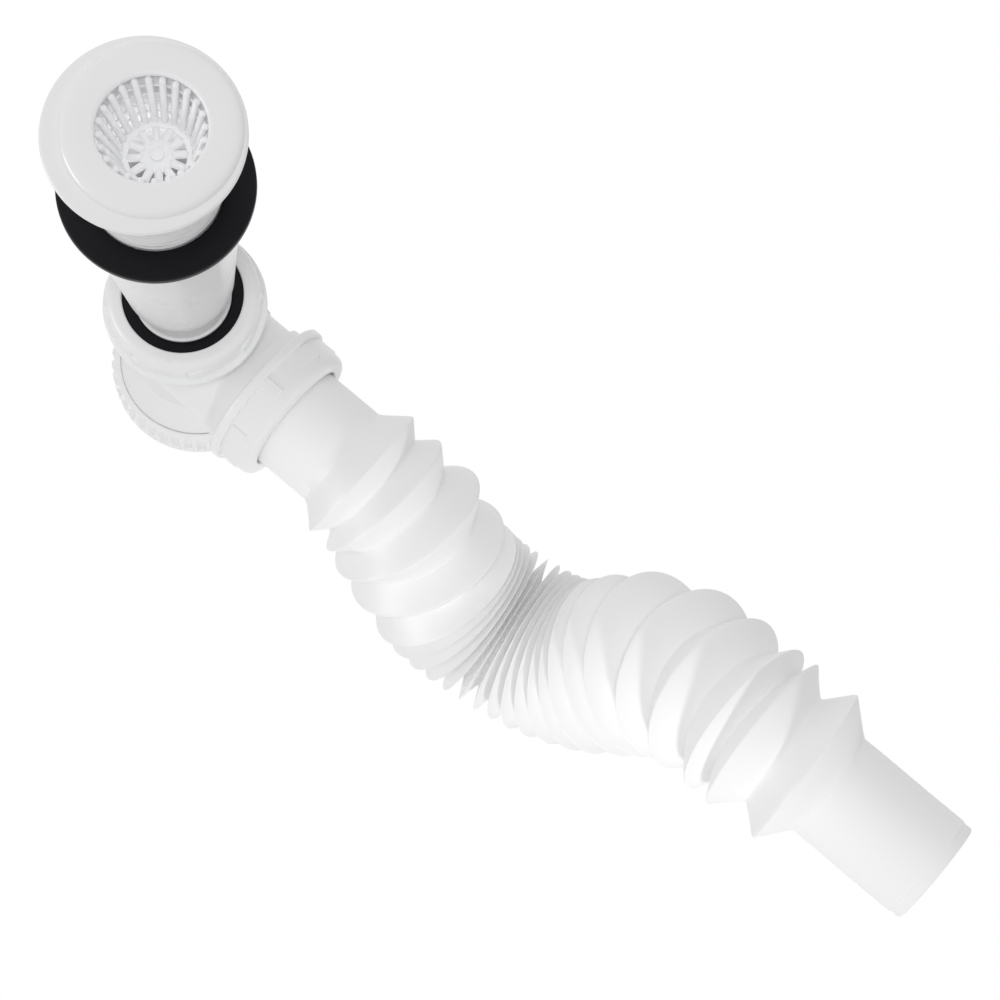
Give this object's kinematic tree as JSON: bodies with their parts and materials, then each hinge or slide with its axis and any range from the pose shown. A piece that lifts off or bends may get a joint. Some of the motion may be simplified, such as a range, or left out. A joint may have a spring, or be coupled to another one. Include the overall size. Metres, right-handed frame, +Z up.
{
  "type": "flexible basin trap",
  "caption": "White plastic basin waste with strainer basket, funnel tail, tee-shaped trap body with compression nuts and cleaning cap, and a bent bellows pipe to the drain",
  "frame": {"origin": "on the waste's axis, at the level of the flange's underside, where it lies on the basin", "axes": "+Z up along the waste, +X along the trap's outlet, +Y to the outlet's left"},
  "size_m": [0.3557, 0.0879, 0.2865],
  "materials": {
    "gloss_white": "gloss",
    "nut_white": "semi-gloss",
    "body_white": "satin",
    "bellows_white": "satin",
    "black_rubber": "satin"
  },
  "bodies": {
    "waste": {"waste_flange": "gloss_white", "strainer_basket": "gloss_white"},
    "tail": {"basin_gasket": "black_rubber", "tail_funnel": "gloss_white"},
    "reducer": {"inlet_seal": "black_rubber"},
    "trap": {"trap_body": "body_white", "outlet_seal": "black_rubber"},
    "inlet_nut": {"inlet_nut": "nut_white"},
    "outlet_nut": {"outlet_nut": "nut_white"},
    "cap": {"cleaning_cap": "nut_white", "cap_seal": "black_rubber"},
    "pipe": {"bellows_pipe": "bellows_white"}
  },
  "joints": [
    {"name": "clamp_travel", "type": "slide", "parent": "waste", "child": "tail", "axis": [0, 0, 1], "range_m": [0, 0.017]},
    {"name": "height_adjust", "type": "slide", "parent": "tail", "child": "reducer", "axis": [0, 0, 1], "range_m": [-0.012, 0]},
    {"name": "trap_swivel", "type": "hinge", "parent": "reducer", "child": "trap", "pos_m": [0, 0, -0.208], "axis": [0, 0, 1], "continuous": true},
    {"name": "inlet_nut_turn", "type": "hinge", "parent": "trap", "child": "inlet_nut", "pos_m": [0, 0, -0.169], "axis": [0, 0, 1], "range_deg": [0, 180]},
    {"name": "outlet_nut_turn", "type": "hinge", "parent": "trap", "child": "outlet_nut", "pos_m": [0.042, 0, -0.208], "axis": [1, 0, 0], "range_deg": [0, 180]},
    {"name": "cap_turn", "type": "hinge", "parent": "trap", "child": "cap", "pos_m": [0, 0, -0.254], "axis": [0, 0, -1], "range_deg": [0, 180]},
    {"name": "pipe_swivel", "type": "hinge", "parent": "trap", "child": "pipe", "pos_m": [0.05, 0, -0.208], "axis": [1, 0, 0], "continuous": true}
  ]
}
